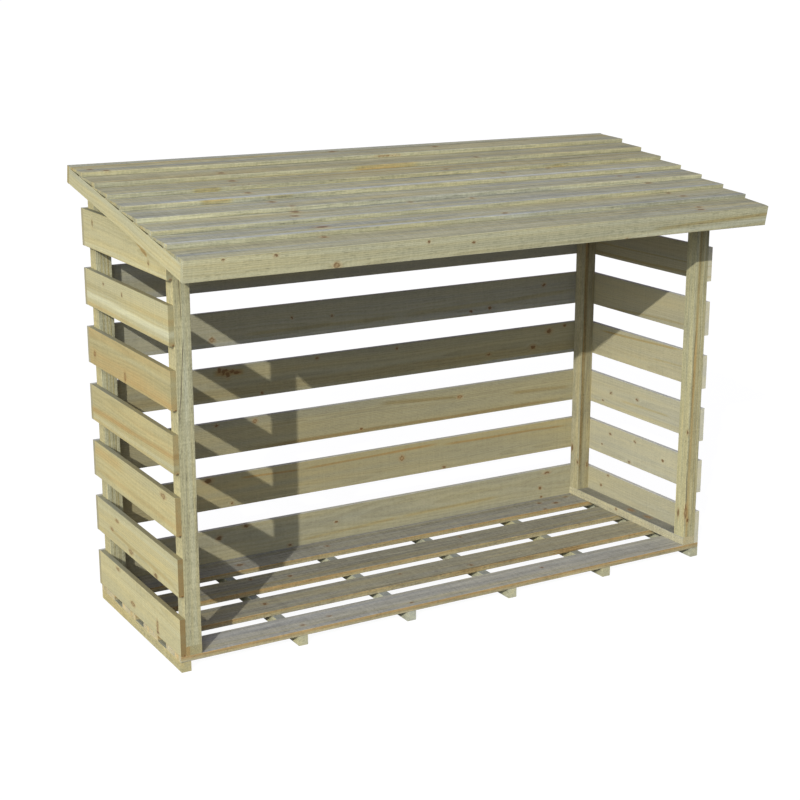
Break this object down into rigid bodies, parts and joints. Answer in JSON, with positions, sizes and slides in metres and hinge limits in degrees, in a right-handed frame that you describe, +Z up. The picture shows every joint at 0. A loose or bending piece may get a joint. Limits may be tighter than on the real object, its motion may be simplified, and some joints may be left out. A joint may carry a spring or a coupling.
{
  "type": "log store",
  "caption": "Open-front timber log store with slatted sides, back and floor on bearers, and a lean-to roof of lapped tapered boards on rafters, falling to the front",
  "frame": {"origin": "on the ground, in the middle of the whole outline, roof included", "axes": "+X along the front to the right, +Y from the open front to the back, +Z up"},
  "size_m": [1.804, 0.8158, 1.2647],
  "materials": {
    "frame_timber": "sawn, green-treated",
    "slats": "sawn, green-treated",
    "floor_boards": "sawn, green-treated",
    "roof_boards": "sawn, green-treated",
    "fascias": "sawn, green-treated"
  },
  "bodies": {
    "root": {"centre_rafter": "frame_timber", "floor_bearers": "frame_timber", "floor_board_1": "floor_boards", "floor_board_2": "floor_boards", "floor_board_3": "floor_boards", "floor_board_4": "floor_boards", "front_fascia": "fascias", "left_front_post": "frame_timber", "left_rafter": "frame_timber", "left_rear_post": "frame_timber", "left_slat_1": "slats", "left_slat_2": "slats", "left_slat_3": "slats", "left_slat_4": "slats", "left_slat_5": "slats", "left_slat_6": "slats", "left_slat_7": "slats", "left_sole_plate": "frame_timber", "rear_fascia": "fascias", "rear_slat_1": "slats", "rear_slat_2": "slats", "rear_slat_3": "slats", "rear_slat_4": "slats", "rear_slat_5": "slats", "rear_slat_6": "slats", "rear_slat_7": "slats", "right_front_post": "frame_timber", "right_rafter": "frame_timber", "right_rear_post": "frame_timber", "right_slat_1": "slats", "right_slat_2": "slats", "right_slat_3": "slats", "right_slat_4": "slats", "right_slat_5": "slats", "right_slat_6": "slats", "right_slat_7": "slats", "right_sole_plate": "frame_timber", "roof_board_1": "roof_boards", "roof_board_2": "roof_boards", "roof_board_3": "roof_boards", "roof_board_4": "roof_boards", "roof_board_5": "roof_boards", "roof_board_6": "roof_boards", "roof_board_7": "roof_boards", "roof_board_8": "roof_boards"}
  },
  "joints": []
}
